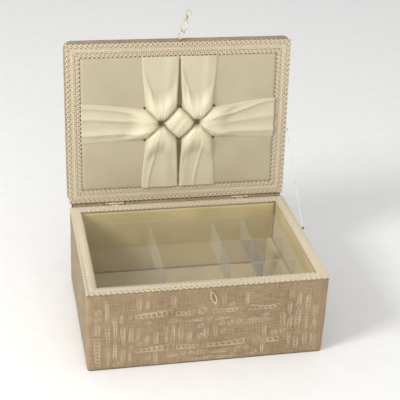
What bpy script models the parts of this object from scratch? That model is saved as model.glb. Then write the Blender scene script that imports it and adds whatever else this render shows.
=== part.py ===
"""Sewing box with a padded lid and a lift-out tray, shown with its lid open.

Lengths are millimetres and become metres in the meshes. X runs left to right, Y front to back
and Z up; the origin is the middle of the box's underside. Lid pieces are modelled as they lie
when the lid is shut, under an empty on the hinge axis that turns them open. The hasp's link,
the hasp and the keeper are modelled hanging straight down, each under an empty on its own axis.
"""

import math

import bmesh
import bpy

MM = 0.001

# Box
BOX_HALF_X = 150.0
BOX_HALF_Y = 110.0
RIM_Z = 111.6
GAP = 0.3
BASE_PAPER = 1.0
CLOTH = 1.3
BOARD = 11.0
FLOOR_BOARD = 9.0
LINING = 1.2
BOARD_TOP = 108.0
BOX_CORNER = 5.0
BOARD_CHAMFER = 3.0

# Braid round the box's rim
RIM_BRAID_PROUD = 0.4
RIM_BRAID_INNER_X = 135.2
RIM_BRAID_INNER_Y = 95.2

# Hinge axis and the lid's opening angle
HINGE_Y = 112.6
HINGE_Z = 112.0
LID_OPEN = math.radians(95.2)

# Lid, as it lies shut
LID_FACE_Z = 111.9
LID_BRAID_TOP = 114.4
LID_BRAID_INNER_X = 132.0
LID_BRAID_INNER_Y = 92.0
LID_BOARD_TOP = 118.7
LID_EDGE = (150.5, 110.35, -0.15, 9.0)
LID_SHOULDER = (152.5, 111.6, -1.4, 12.0)
SHOULDER_Z = 124.6
CROWN = 37.0
COVER_WALL = 1.2
PAD_PLAY = 1.2
DOME_STEPS = (0.993, 0.97, 0.92, 0.84, 0.72, 0.56, 0.36, 0.16)
DOME_BETWEEN = 6

# Satin bands and rosettes under the lid
SATIN_TOP = 112.6
SATIN_FACE = 110.4
BAND_OUTER_X = 47.3
BAND_SLIT_X = 1.0
BAND_HALF_Y = 91.4
CROSS_BAND_END_X = 131.4
CROSS_BAND_WIDE = 28.0
CROSS_BAND_NARROW = 14.0
ROSETTE_X = 23.0
ROSETTE_HALF = (22.0, 24.0)
ROSETTE_TIP = 102.9

# Tray
TRAY_TOP = 91.6
TRAY_BOTTOM = 53.6
TRAY_WALL = 1.8
TRAY_LIP = 1.4
TRAY_LIP_DEPTH = 2.0
TRAY_HALF_X = 133.0
TRAY_HALF_Y = 93.0
TRAY_DRAFT = 1.4
TRAY_CORNER = 5.0
DIVIDER = 1.5
DIVIDER_TOP = 89.0
LONG_DIVIDER_Y = -30.0
SHORT_DIVIDER_Y = 30.0
CROSS_DIVIDER_X = (-43.5, 43.5, 87.0)
LEDGE = 8.0

# Hinges
HINGE_X = 88.0
LEAF_WIDTH = 24.0
LEAF = 0.8
LEAF_Y = 110.7
BARREL_R = 1.9
BORE_R = 1.0
PIN_R = 0.7
KNUCKLE_GAP = 0.3
BOX_LEAF_Z = (97.0, 109.8)
LID_LEAF_Z = (114.2, 126.0)
TACK_X = 7.5
TACK_R = 1.4
TACK_HEIGHT = 0.8

# Wire closure: link, hasp and keeper
WIRE_R = 0.8
EYELET_WIRE_R = 0.6
EYELET_R = WIRE_R + GAP + EYELET_WIRE_R
HASP_PIVOT = (0.0, -114.0, 117.0)
HASP_LEAN = math.radians(18.0)
LINK_HALF_WIDTH = 3.0
LINK_LENGTH = 11.0
HOOK_R = 2 * WIRE_R + GAP
EYE_HALF_WIDTH = 4.8
EYE_LENGTH = 14.5
NECK_R = 1.05
NECK_LENGTH = 6.5
NECK_HALF_TURNS = 3
RING_R = 3.45
KEEPER_PIVOT = (0.0, -112.6, 104.5)
KEEPER_LEAN = math.radians(20.0)
KEEPER_HALF_WIDTH = 2.4
KEEPER_LENGTH = 18.5

# Stay cord on the right side
CORD_R = 0.75
CORD_STEP = 3.8
KNOT_R = 1.6
STAY_X = 152.6
STAY_BOX_KNOT = (STAY_X, 17.0, 109.5)
STAY_LID_KNOT = (STAY_X, 17.0, 114.0)
STAY_ROUTE = (
    (121.3, 204.9), (114.0, 197.6), (106.6, 190.3), (99.2, 183.1), (91.9, 176.0),
    (84.5, 169.0), (77.2, 162.1), (69.8, 155.3), (62.5, 148.6), (55.1, 142.0),
    (47.7, 135.5), (40.4, 129.1), (33.0, 122.9), (25.7, 116.8), (18.4, 110.9),
)


# ---------------------------------------------------------------- scene and materials

def clear_scene():
    for obj in list(bpy.data.objects):
        bpy.data.objects.remove(obj)


def finish_material(name, colour, roughness, metallic=0.0, transmission=0.0):
    material = bpy.data.materials.new(name)
    material.use_nodes = True
    shader = material.node_tree.nodes["Principled BSDF"]
    shader.inputs["Base Color"].default_value = (*colour, 1.0)
    shader.inputs["Roughness"].default_value = roughness
    shader.inputs["Metallic"].default_value = metallic
    shader.inputs["Transmission Weight"].default_value = transmission
    material.diffuse_color = (*colour, 1.0)
    return material


def make_materials():
    return {
        "cloth": finish_material("printed_cloth", (0.41, 0.30, 0.17), 0.9),
        "braid": finish_material("cream_braid", (0.68, 0.58, 0.40), 0.8),
        "satin": finish_material("cream_satin", (0.72, 0.66, 0.47), 0.35),
        "board": finish_material("grey_board", (0.35, 0.30, 0.24), 0.9),
        "foam": finish_material("foam", (0.80, 0.78, 0.70), 0.95),
        "paper": finish_material("base_paper", (0.03, 0.025, 0.02), 0.7),
        "plastic": finish_material("clear_plastic", (0.93, 0.93, 0.90), 0.05, 0.0, 0.9),
        "wire": finish_material("cream_wire", (0.75, 0.69, 0.52), 0.4),
        "brass": finish_material("pale_brass", (0.70, 0.58, 0.34), 0.35, 1.0),
        "cord": finish_material("white_cord", (0.78, 0.76, 0.70), 0.8),
        "knot": finish_material("dark_knot", (0.16, 0.12, 0.08), 0.8),
    }


# ---------------------------------------------------------------- mesh helpers

class Frame:
    """An empty on a joint's axis, and the point that it stands for in its pieces' coordinates."""

    def __init__(self, name, origin, location=None, turn=(0.0, 0.0, 0.0), parent=None):
        self.origin = origin
        self.empty = bpy.data.objects.new(name, None)
        self.empty.location = [value * MM for value in (location or origin)]
        self.empty.rotation_euler = turn
        self.empty.parent = parent.empty if parent else None
        bpy.context.collection.objects.link(self.empty)


def add_object(name, data, material, frame=None):
    obj = bpy.data.objects.new(name, data)
    data.materials.append(material)
    bpy.context.collection.objects.link(obj)
    if frame:
        obj.parent = frame.empty
    return obj


def add_mesh(name, points, faces, material, frame=None, smooth=False):
    """A closed mesh from points in millimetres, its faces turned outwards."""
    origin = frame.origin if frame else (0.0, 0.0, 0.0)
    shape = bmesh.new()
    corners = [shape.verts.new([(p - o) * MM for p, o in zip(point, origin)]) for point in points]
    for face in faces:
        shape.faces.new([corners[index] for index in face])
    bmesh.ops.recalc_face_normals(shape, faces=shape.faces)
    mesh = bpy.data.meshes.new(name)
    shape.to_mesh(mesh)
    shape.free()
    if smooth:
        mesh.shade_smooth()
        mesh.set_sharp_from_angle(angle=math.radians(40))
    return add_object(name, mesh, material, frame)


def loft(name, rings, material, frame=None, smooth=False, ring_shaped=False):
    """Skins rings of equal length; the end rings are capped, or joined when ring_shaped."""
    count = len(rings[0])
    points = [point for ring in rings for point in ring]
    faces = []
    last = len(rings) if ring_shaped else len(rings) - 1
    for row in range(last):
        low, high = row * count, (row + 1) % len(rings) * count
        for i in range(count):
            j = (i + 1) % count
            faces.append((low + i, low + j, high + j))
            faces.append((low + i, high + j, high + i))
    if not ring_shaped:
        faces.append(tuple(range(count)))
        faces.append(tuple(range(len(points) - count, len(points))))
    return add_mesh(name, points, faces, material, frame, smooth)


def outline(half_x, half_y, radius, centre_y=0.0, steps=4, between=0):
    """A rounded rectangle as (x, y), anticlockwise from the right front corner.

    between is the number of points along each straight side.
    """
    points = []
    for quarter, (side_x, side_y) in enumerate(((1, -1), (1, 1), (-1, 1), (-1, -1))):
        for step in range(steps + 1):
            angle = math.radians(90 * (quarter - 1 + step / steps))
            x = side_x * (half_x - radius) + radius * math.cos(angle)
            y = side_y * (half_y - radius) + radius * math.sin(angle)
            points.append((x, y + centre_y))
        run_x, run_y = ((0, 1), (-1, 0), (0, -1), (1, 0))[quarter]
        length = 2 * (half_x - radius if run_x else half_y - radius)
        x, y = points[-1]
        for step in range(1, between + 1):
            part = length * step / (between + 1)
            points.append((x + run_x * part, y + run_y * part))
    return points


def level(points, z):
    return [(x, y, z) for x, y in points]


def slab(name, x, y, z, material, frame=None):
    """A straight block between two values on each axis."""
    corners = ((x[0], y[0]), (x[1], y[0]), (x[1], y[1]), (x[0], y[1]))
    return loft(name, (level(corners, z[0]), level(corners, z[1])), material, frame)


def plate(name, flat, z, material, frame=None):
    return loft(name, (level(flat, z[0]), level(flat, z[1])), material, frame)


def border(name, outer, inner, z, material, frame=None):
    """A band of equal height between two outlines of as many points."""
    rings = (level(outer, z[0]), level(outer, z[1]), level(inner, z[1]), level(inner, z[0]))
    return loft(name, rings, material, frame, ring_shaped=True)


def cylinder_x(name, radius, x, y, z, material, frame=None, sides=16):
    """A round bar along X between two values of x."""
    rings = []
    for end in x:
        angles = [2 * math.pi * step / sides for step in range(sides)]
        rings.append([(end, y + radius * math.cos(a), z + radius * math.sin(a)) for a in angles])
    return loft(name, rings, material, frame, smooth=True)


def tube(name, route, radius, material, frame=None, cyclic=False, side_steps=1):
    """A round wire or cord along a route, its ends capped."""
    origin = frame.origin if frame else (0.0, 0.0, 0.0)
    curve = bpy.data.curves.new(name, "CURVE")
    curve.dimensions = "3D"
    spline = curve.splines.new("POLY")
    spline.points.add(len(route) - 1)
    for point, place in zip(spline.points, route):
        point.co = [(p - o) * MM for p, o in zip(place, origin)] + [1.0]
    spline.use_cyclic_u = cyclic
    curve.bevel_depth = radius * MM
    curve.bevel_resolution = side_steps
    curve.use_fill_caps = not cyclic
    return add_object(name, curve, material, frame)


def ball(name, centre, radius, material, frame=None):
    origin = frame.origin if frame else (0.0, 0.0, 0.0)
    shape = bmesh.new()
    bmesh.ops.create_icosphere(shape, subdivisions=2, radius=radius * MM)
    bmesh.ops.translate(shape, verts=shape.verts, vec=[(c - o) * MM for c, o in zip(centre, origin)])
    mesh = bpy.data.meshes.new(name)
    shape.to_mesh(mesh)
    shape.free()
    mesh.shade_smooth()
    return add_object(name, mesh, material, frame)


def combine(obj, other, operation):
    """A Boolean with a helper that stays out of the model."""
    other.hide_render = True
    other.display_type = "WIRE"
    modifier = obj.modifiers.new(operation.lower(), "BOOLEAN")
    modifier.operation = operation
    modifier.solver = "EXACT"
    modifier.object = other


# ---------------------------------------------------------------- box

def wall_board(name, side_y, material):
    """A front or back board, chamfered where the cloth rounds the corners."""
    out_y = BOX_HALF_Y - CLOTH - GAP
    out_x = BOX_HALF_X - CLOTH - GAP
    flat = (
        (-out_x, out_y - BOARD), (out_x, out_y - BOARD), (out_x, out_y - BOARD_CHAMFER),
        (out_x - BOARD_CHAMFER, out_y), (BOARD_CHAMFER - out_x, out_y), (-out_x, out_y - BOARD_CHAMFER),
    )
    flat = [(x, side_y * y) for x, y in flat]
    plate(name, flat, (BASE_PAPER + GAP, BOARD_TOP), material)


def make_boards(materials):
    board = materials["board"]
    low = BASE_PAPER + GAP
    out_x = BOX_HALF_X - CLOTH - GAP
    in_x = out_x - BOARD
    in_y = BOX_HALF_Y - CLOTH - GAP - BOARD - GAP
    wall_board("front_board", -1, board)
    wall_board("back_board", 1, board)
    slab("left_board", (-out_x, -in_x), (-in_y, in_y), (low, BOARD_TOP), board)
    slab("right_board", (in_x, out_x), (-in_y, in_y), (low, BOARD_TOP), board)
    half_x = in_x - GAP
    slab("bottom_board", (-half_x, half_x), (-in_y, in_y), (low, low + FLOOR_BOARD), board)


def make_cover_and_base(materials):
    inner = (BOX_HALF_X - CLOTH, BOX_HALF_Y - CLOTH, BOX_CORNER - CLOTH)
    border(
        "outer_cover", outline(BOX_HALF_X, BOX_HALF_Y, BOX_CORNER), outline(*inner),
        (BASE_PAPER + GAP, BOARD_TOP), materials["cloth"],
    )
    flat = outline(BOX_HALF_X - 1.0, BOX_HALF_Y - 1.0, BOX_CORNER - 1.0)
    plate("base_paper", flat, (0.0, BASE_PAPER), materials["paper"])


def make_lining(materials):
    satin = materials["satin"]
    x = BOX_HALF_X - CLOTH - GAP - BOARD - GAP
    y = BOX_HALF_Y - CLOTH - GAP - BOARD - GAP
    floor = BASE_PAPER + GAP + FLOOR_BOARD + GAP
    top = BOARD_TOP
    side_y = y - LINING - GAP
    slab("lining_bottom", (-x, x), (-y, y), (floor, floor + LINING), satin)
    low = floor + LINING + GAP
    slab("lining_front", (-x, x), (-y, LINING - y), (low, top), satin)
    slab("lining_back", (-x, x), (y - LINING, y), (low, top), satin)
    slab("lining_left", (-x, LINING - x), (-side_y, side_y), (low, top), satin)
    slab("lining_right", (x - LINING, x), (-side_y, side_y), (low, top), satin)
    face = x - LINING - GAP
    ledge = (low, TRAY_BOTTOM - GAP)
    slab("tray_ledge_left", (-face, LEDGE - face), (-side_y, side_y), ledge, satin)
    slab("tray_ledge_right", (face - LEDGE, face), (-side_y, side_y), ledge, satin)


def make_rim_braid(materials):
    outer = outline(BOX_HALF_X + RIM_BRAID_PROUD, BOX_HALF_Y + RIM_BRAID_PROUD, BOX_CORNER)
    inner = outline(RIM_BRAID_INNER_X, RIM_BRAID_INNER_Y, 1.5)
    border("rim_braid", outer, inner, (BOARD_TOP + GAP, RIM_Z), materials["braid"])


# ---------------------------------------------------------------- lid

def dome_height(x, y, inset):
    """Height of the padded top: an arch from front to back, its ends rounded off."""
    half_x, half_y, centre_y, _ = LID_SHOULDER
    along = min(1.0, abs(x) / (half_x - inset))
    across = min(1.0, abs(y - centre_y) / (half_y - inset))
    arch = (1 - across**2.2) ** 0.85
    ends = (1 - along**14) ** 0.45 * (1 - 0.1 * along**2)
    return SHOULDER_Z + (CROWN - inset) * arch * ends


def dome_rings(inset, bottom):
    """The padded top's outlines from its lower edge to near the crown."""
    def inset_outline(shape, scale=1.0):
        half_x, half_y, centre_y, radius = shape
        flat = (half_x - inset) * scale, (half_y - inset) * scale, (radius - inset) * scale
        return outline(*flat, centre_y, steps=3, between=DOME_BETWEEN)

    part = (bottom - LID_BRAID_TOP) / (SHOULDER_Z - LID_BRAID_TOP)
    foot = [low + (high - low) * part for low, high in zip(LID_EDGE, LID_SHOULDER)]
    rings = [level(inset_outline(foot), bottom), level(inset_outline(LID_SHOULDER), SHOULDER_Z)]
    for scale in DOME_STEPS:
        flat = inset_outline(LID_SHOULDER, scale)
        rings.append([(x, y, dome_height(x, y, inset)) for x, y in flat])
    return rings


def make_lid_shell(materials, lid):
    low = LID_BRAID_TOP + GAP
    outside = dome_rings(0.0, low)
    inside = dome_rings(COVER_WALL, low)
    loft("lid_cover", inside[::-1] + outside, materials["cloth"], lid, smooth=True)
    pad = dome_rings(COVER_WALL + PAD_PLAY, LID_BOARD_TOP + GAP)
    loft("lid_pad", pad, materials["foam"], lid, smooth=True)
    edge_x, edge_y, centre_y, radius = LID_EDGE
    inset = COVER_WALL + GAP + 0.1
    flat = outline(edge_x - inset, edge_y - inset, radius, centre_y)
    plate("lid_board", flat, (low, LID_BOARD_TOP), materials["board"], lid)


def make_lid_face(materials, lid):
    edge_x, edge_y, centre_y, radius = LID_EDGE
    outer = outline(edge_x + GAP, edge_y + 0.2, radius, centre_y - 0.1)
    inner = outline(LID_BRAID_INNER_X, LID_BRAID_INNER_Y, 2.0)
    border("lid_braid", outer, inner, (LID_FACE_Z, LID_BRAID_TOP), materials["braid"], lid)
    flat = outline(LID_BRAID_INNER_X - GAP, LID_BRAID_INNER_Y - GAP, 1.7)
    plate("lid_lining", flat, (SATIN_TOP + GAP, LID_BRAID_TOP), materials["satin"], lid)


def make_satin_bands(materials, lid):
    satin = materials["satin"]
    z = (SATIN_FACE, SATIN_TOP)
    for side, name in ((-1, "left"), (1, "right")):
        x = sorted((side * BAND_SLIT_X, side * BAND_OUTER_X))
        slab(f"satin_band_{name}", x, (-BAND_HALF_Y, BAND_HALF_Y), z, satin, lid)
        near, far = side * (BAND_OUTER_X + GAP), side * CROSS_BAND_END_X
        flat = (
            (near, -CROSS_BAND_NARROW), (far, -CROSS_BAND_WIDE),
            (far, CROSS_BAND_WIDE), (near, CROSS_BAND_NARROW),
        )
        plate(f"satin_cross_band_{name}", flat, z, satin, lid)
        make_rosette(f"rosette_{name}", side * ROSETTE_X, satin, lid)


def make_rosette(name, centre_x, material, lid, sides=20):
    """A puffed mound that hangs under the bands."""
    base = SATIN_FACE - GAP
    rings = []
    for scale, drop in ((1.0, 0.0), (0.98, 0.35), (0.85, 0.72), (0.6, 0.93), (0.25, 1.0)):
        z = base - drop * (base - ROSETTE_TIP)
        angles = [2 * math.pi * step / sides for step in range(sides)]
        half_x, half_y = (half * scale for half in ROSETTE_HALF)
        rings.append([(centre_x + half_x * math.cos(a), half_y * math.sin(a), z) for a in angles])
    loft(name, rings, material, lid, smooth=True)


# ---------------------------------------------------------------- hinges

def make_leaf(name, centre_x, z, knuckles, materials, frame=None):
    """A hinge leaf: a plate, its rolled knuckles on the axis, and the pin's bore through them."""
    brass = materials["brass"]
    half = LEAF_WIDTH / 2
    leaf = slab(name, (centre_x - half, centre_x + half), (LEAF_Y, LEAF_Y + LEAF), z, brass, frame)
    near_plate = z[1] - 0.5 if z[1] < HINGE_Z else z[0] + 0.5
    web_y = (LEAF_Y + 0.1, LEAF_Y + LEAF - 0.1)
    for index, (start, end) in enumerate(knuckles):
        x = (centre_x + start, centre_x + end)
        inset_x = (x[0] + 0.05, x[1] - 0.05)
        web = slab(f"{name}_web_{index}", inset_x, web_y, sorted((near_plate, HINGE_Z)), brass, frame)
        roll = cylinder_x(f"{name}_roll_{index}", BARREL_R, x, HINGE_Y, HINGE_Z, brass, frame)
        combine(leaf, roll, "UNION")
        combine(leaf, web, "UNION")
    bore_x = (centre_x - half - 1.0, centre_x + half + 1.0)
    bore = cylinder_x(f"{name}_bore", BORE_R, bore_x, HINGE_Y, HINGE_Z, brass, frame, 12)
    combine(leaf, bore, "DIFFERENCE")


def make_tack(name, x, z, materials, frame=None, sides=12):
    """A low domed head on the back of a leaf."""
    base = LEAF_Y + LEAF + GAP
    rings = []
    for scale, rise in ((1.0, 0.0), (0.95, 0.5), (0.55, 1.0)):
        y = base + rise * TACK_HEIGHT
        angles = [2 * math.pi * step / sides for step in range(sides)]
        radius = TACK_R * scale
        rings.append([(x + radius * math.cos(a), y, z + radius * math.sin(a)) for a in angles])
    loft(name, rings, materials["brass"], frame, smooth=True)


def make_hinges(materials, lid):
    third = LEAF_WIDTH / 3
    half, gap = LEAF_WIDTH / 2, KNUCKLE_GAP / 2
    outer = ((-half, third / 2 - third - gap), (third / 2 + gap, half))
    middle = ((gap - third / 2, third / 2 - gap),)
    for side, name in ((-1, "left"), (1, "right")):
        x = side * HINGE_X
        make_leaf(f"hinge_{name}_box_leaf", x, BOX_LEAF_Z, outer, materials)
        make_leaf(f"hinge_{name}_lid_leaf", x, LID_LEAF_Z, middle, materials, lid)
        pin_x = (x - half - 0.5, x + half + 0.5)
        cylinder_x(f"hinge_{name}_pin", PIN_R, pin_x, HINGE_Y, HINGE_Z, materials["brass"], None, 10)
        for number, offset in enumerate((-TACK_X, TACK_X), 1):
            box_z, lid_z = sum(BOX_LEAF_Z) / 2, sum(LID_LEAF_Z) / 2
            make_tack(f"hinge_{name}_box_tack_{number}", x + offset, box_z, materials)
            make_tack(f"hinge_{name}_lid_tack_{number}", x + offset, lid_z, materials, lid)


# ---------------------------------------------------------------- wire closure

def loop_route(half_width, length, top_radius, bottom_radius, steps=4):
    """A closed loop that hangs from the origin, as (x, y, z)."""
    route = []
    corners = (
        (1, -top_radius, top_radius, 90), (1, bottom_radius - length, bottom_radius, 0),
        (-1, bottom_radius - length, bottom_radius, 270), (-1, -top_radius, top_radius, 180),
    )
    for side, centre_z, radius, start in corners:
        for step in range(steps + 1):
            angle = math.radians(start - 90 * step / steps)
            x = side * (half_width - radius) + radius * math.cos(angle)
            route.append((x, 0.0, centre_z + radius * math.sin(angle)))
    return route


def eye_strand(side, steps=12):
    """One side of the hasp's eye, from the link's bar down to the neck."""
    route = []
    for step in range(1, steps):
        part = step / steps
        x = side * (1.0 + (EYE_HALF_WIDTH - 1.0) * math.sin(math.pi * part))
        route.append((x, side * HOOK_R * (1 - part) ** 2, -EYE_LENGTH * part))
    return route


def neck_strand(side, steps=10):
    """One of the two strands twisted round each other, from the eye down to the ring."""
    route = []
    for step in range(steps + 1):
        part = step / steps
        turn = NECK_HALF_TURNS * math.pi * part
        z = -EYE_LENGTH - NECK_LENGTH * part
        route.append((side * NECK_R * math.cos(turn), side * NECK_R * math.sin(turn), z))
    return route


def hasp_route(steps=8, ring_steps=18):
    """One bent wire: over the link's bar, down the eye, the neck, round the ring and back."""
    hook = []
    for step in range(steps + 1):
        part = step / steps
        angle = math.pi * part
        hook.append((2 * part - 1, -HOOK_R * math.cos(angle), HOOK_R * math.sin(angle)))
    ring_top = -EYE_LENGTH - NECK_LENGTH
    opening = math.acos(NECK_R / RING_R)
    centre_z = ring_top - RING_R * math.sin(opening)
    ring = []
    for step in range(1, ring_steps):
        angle = math.pi - opening + (math.pi + 2 * opening) * step / ring_steps
        ring.append((RING_R * math.cos(angle), 0.0, centre_z + RING_R * math.sin(angle)))
    down = eye_strand(1) + neck_strand(1)
    up = neck_strand(-1)[::-1] + eye_strand(-1)[::-1]
    return hook + down + ring + up


def eyelet(name, frame, materials, steps=14):
    """A small ring that holds a loop's top bar, in the plane across the bar."""
    angles = [2 * math.pi * step / steps for step in range(steps)]
    route = [(0.0, EYELET_R * math.cos(a), EYELET_R * math.sin(a)) for a in angles]
    tube(name, route, EYELET_WIRE_R, materials["wire"], frame, cyclic=True)


def make_closure(materials, lid):
    wire = materials["wire"]
    on_lid = [p - o for p, o in zip(HASP_PIVOT, lid.origin)]
    nowhere = (0.0, 0.0, 0.0)
    link = Frame("hasp_link_axis", nowhere, on_lid, (-math.pi / 2, 0.0, HASP_LEAN), lid)
    hasp = Frame("hasp_axis", nowhere, (0.0, 0.0, -LINK_LENGTH), parent=link)
    keeper = Frame("keeper_axis", nowhere, KEEPER_PIVOT, (0.0, -KEEPER_LEAN, 0.0))
    tube("hasp_link", loop_route(LINK_HALF_WIDTH, LINK_LENGTH, 1.3, 1.3), WIRE_R, wire, link, True)
    tube("hasp", hasp_route(), WIRE_R, wire, hasp, True)
    keeper_loop = loop_route(KEEPER_HALF_WIDTH, KEEPER_LENGTH, 1.4, 2.3)
    tube("keeper", keeper_loop, WIRE_R, wire, keeper, True)
    eyelet("hasp_eyelet", link, materials)
    eyelet("keeper_eyelet", keeper, materials)


# ---------------------------------------------------------------- stay cord

def smooth_route(points, spacing):
    """Points about spacing apart on a smooth curve through the route's own points."""
    route = []
    for i in range(len(points) - 1):
        before, start = points[max(i - 1, 0)], points[i]
        end, after = points[i + 1], points[min(i + 2, len(points) - 1)]
        pieces = max(1, round(math.dist(start, end) / spacing))
        for piece in range(pieces):
            t = piece / pieces
            route.append([
                0.5 * (2 * b + (c - a) * t + (2 * a - 5 * b + 4 * c - d) * t**2
                       + (3 * b - a - 3 * c + d) * t**3)
                for a, b, c, d in zip(before, start, end, after)
            ])
    return route + [points[-1]]


def make_stay(materials, lid):
    route = smooth_route([(STAY_X, y, z) for y, z in STAY_ROUTE], CORD_STEP)
    tube("stay_cord", route, CORD_R, materials["cord"], side_steps=2)
    ball("stay_knot_box", STAY_BOX_KNOT, KNOT_R, materials["knot"])
    ball("stay_knot_lid", STAY_LID_KNOT, KNOT_R, materials["cord"], lid)


# ---------------------------------------------------------------- tray

def drafted(name, low, high, z, material, frame):
    """A divider whose foot is shorter than its top, as (x0, x1, y0, y1) at each height."""
    rings = []
    for (x0, x1, y0, y1), height in zip((low, high), z):
        rings.append(level(((x0, y0), (x1, y0), (x1, y1), (x0, y1)), height))
    loft(name, rings, material, frame)


def make_tray(materials):
    clear = materials["plastic"]
    tray = Frame("tray_axis", (0.0, 0.0, TRAY_BOTTOM))
    foot_x, foot_y = TRAY_HALF_X - TRAY_DRAFT, TRAY_HALF_Y - TRAY_DRAFT
    lip_low = TRAY_TOP - TRAY_LIP_DEPTH
    rings = (
        level(outline(foot_x, foot_y, TRAY_CORNER), TRAY_BOTTOM),
        level(outline(TRAY_HALF_X, TRAY_HALF_Y, TRAY_CORNER), lip_low),
        level(outline(TRAY_HALF_X + TRAY_LIP, TRAY_HALF_Y + TRAY_LIP, TRAY_CORNER), lip_low),
        level(outline(TRAY_HALF_X + TRAY_LIP, TRAY_HALF_Y + TRAY_LIP, TRAY_CORNER), TRAY_TOP),
        level(outline(TRAY_HALF_X - TRAY_WALL, TRAY_HALF_Y - TRAY_WALL, TRAY_CORNER - TRAY_WALL), TRAY_TOP),
        level(outline(foot_x - TRAY_WALL, foot_y - TRAY_WALL, TRAY_CORNER - TRAY_WALL),
              TRAY_BOTTOM + TRAY_WALL),
    )
    loft("tray_shell", rings, clear, tray)

    z = (TRAY_BOTTOM + TRAY_WALL + GAP, DIVIDER_TOP)
    half = DIVIDER / 2
    low_x, low_y = foot_x - TRAY_WALL - GAP, foot_y - TRAY_WALL - GAP
    high_x, high_y = low_x + TRAY_DRAFT - 0.1, low_y + TRAY_DRAFT - 0.1
    y = (LONG_DIVIDER_Y - half, LONG_DIVIDER_Y + half)
    drafted("tray_long_divider", (-low_x, low_x, *y), (-high_x, high_x, *y), z, clear, tray)
    behind = LONG_DIVIDER_Y + half + GAP
    for number, x in enumerate(CROSS_DIVIDER_X, 1):
        low = (x - half, x + half, behind, low_y)
        high = (x - half, x + half, behind, high_y)
        drafted(f"tray_cross_divider_{number}", low, high, z, clear, tray)
    y = (SHORT_DIVIDER_Y - half, SHORT_DIVIDER_Y + half)
    inner = (CROSS_DIVIDER_X[1] + half + GAP, CROSS_DIVIDER_X[2] - half - GAP)
    drafted("tray_short_divider_1", (*inner, *y), (*inner, *y), z, clear, tray)
    start = CROSS_DIVIDER_X[2] + half + GAP
    drafted("tray_short_divider_2", (start, low_x, *y), (start, high_x, *y), z, clear, tray)


def main():
    clear_scene()
    materials = make_materials()
    make_boards(materials)
    make_cover_and_base(materials)
    make_lining(materials)
    make_rim_braid(materials)
    lid = Frame("lid_axis", (0.0, HINGE_Y, HINGE_Z), turn=(-LID_OPEN, 0.0, 0.0))
    make_lid_shell(materials, lid)
    make_lid_face(materials, lid)
    make_satin_bands(materials, lid)
    make_hinges(materials, lid)
    make_closure(materials, lid)
    make_stay(materials, lid)
    make_tray(materials)


main()
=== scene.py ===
"""Sewing box with a padded lid, standing open: cloth, braid, satin, wire and a clear tray.

Lengths are millimetres until a mesh is made. Lid pieces are shaped as they lie when the lid is
shut, and LID turns them to where the open lid holds them.
"""

import random
from bisect import bisect_left
from math import acos, atan2, copysign, cos, exp, hypot, pi, radians, sin

import bmesh
import bpy
from mathutils import Matrix, Vector, noise
from mathutils.bvhtree import BVHTree


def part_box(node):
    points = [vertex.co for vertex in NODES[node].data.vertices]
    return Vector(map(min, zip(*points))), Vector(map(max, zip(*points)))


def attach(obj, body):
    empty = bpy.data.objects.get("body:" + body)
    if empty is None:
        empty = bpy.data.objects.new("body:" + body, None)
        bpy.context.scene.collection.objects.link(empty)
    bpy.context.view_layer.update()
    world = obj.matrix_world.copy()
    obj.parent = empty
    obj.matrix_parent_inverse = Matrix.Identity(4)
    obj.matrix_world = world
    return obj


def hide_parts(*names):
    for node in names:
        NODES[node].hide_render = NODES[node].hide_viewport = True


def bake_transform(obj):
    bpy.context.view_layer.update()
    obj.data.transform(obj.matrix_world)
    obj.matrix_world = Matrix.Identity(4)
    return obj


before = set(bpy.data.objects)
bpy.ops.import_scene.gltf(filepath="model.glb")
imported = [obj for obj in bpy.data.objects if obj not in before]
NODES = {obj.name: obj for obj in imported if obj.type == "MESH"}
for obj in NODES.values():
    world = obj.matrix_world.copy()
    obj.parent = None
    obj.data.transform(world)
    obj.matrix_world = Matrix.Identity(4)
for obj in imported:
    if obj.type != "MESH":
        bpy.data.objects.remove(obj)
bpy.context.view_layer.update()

MM = 0.001

# Camera
CAMERA_AZIMUTH = radians(-12.70)
CAMERA_ELEVATION = radians(27.50)
CAMERA_ROLL = radians(2.68)
CAMERA_TARGET = Vector((0.006, 0.0, 0.170))
CAMERA_DISTANCE = 1.296
CAMERA_LENS = 92.0

# Hinge axis and the lid's opening angle
HINGE = Vector((0.0, 112.6, 112.0))
LID_OPEN = radians(95.2)
LID = (Matrix.Translation(HINGE) @ Matrix.Rotation(-LID_OPEN, 4, "X")
       @ Matrix.Translation(-HINGE))

# Box cover
BOX_HALF_X = 150.0
BOX_HALF_Y = 110.0
BOX_CORNER = 6.0
COVER_LOW = 1.3
COVER_TOP = 108.1
COVER_WALL = 1.2

# Lid cover: half sizes, middle in Y and corner radius of its lower edge and of its shoulder
LID_EDGE = (150.5, 110.35, -0.15, 7.0)
LID_SHOULDER = (151.8, 111.4, -1.2, 10.0)
COVER_Z = 114.7
SHOULDER_Z = 124.6
CROWN = 37.0

# Print: half lengths of the printed areas, the pitch of the rows, and where the rays start that lay it
PRINT_HALF_X = 144.0
PRINT_HALF_Y = 104.0
ARCH_PRINT_HALF = 146
GABLE_PRINT = (198, 30)
PRINT_ROW = 46
PRINT_LIFT = 0.10
RAY_START = 190
RAY_START_END = 230
BOX_PRINT_SEED = 11
LID_PRINT_SEED = 23

# Satin under the lid
LID_LINING_HALF_X = 131.7
LID_LINING_HALF_Y = 91.7
LID_LINING_FACE = 112.9
LID_LINING_BACK = 114.3

# Braid
BRAID_PITCH = 6.3
RIM_BRAID = {"middle": (142.8, 102.8), "half": 7.6, "lap": 0.0, "z": 108.3, "top": 111.5, "face": 1}
LID_BRAID = {"middle": (141.4, 101.3), "half": 9.4, "lap": 0.9, "z": 114.4, "top": 111.95, "face": -1}

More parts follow.
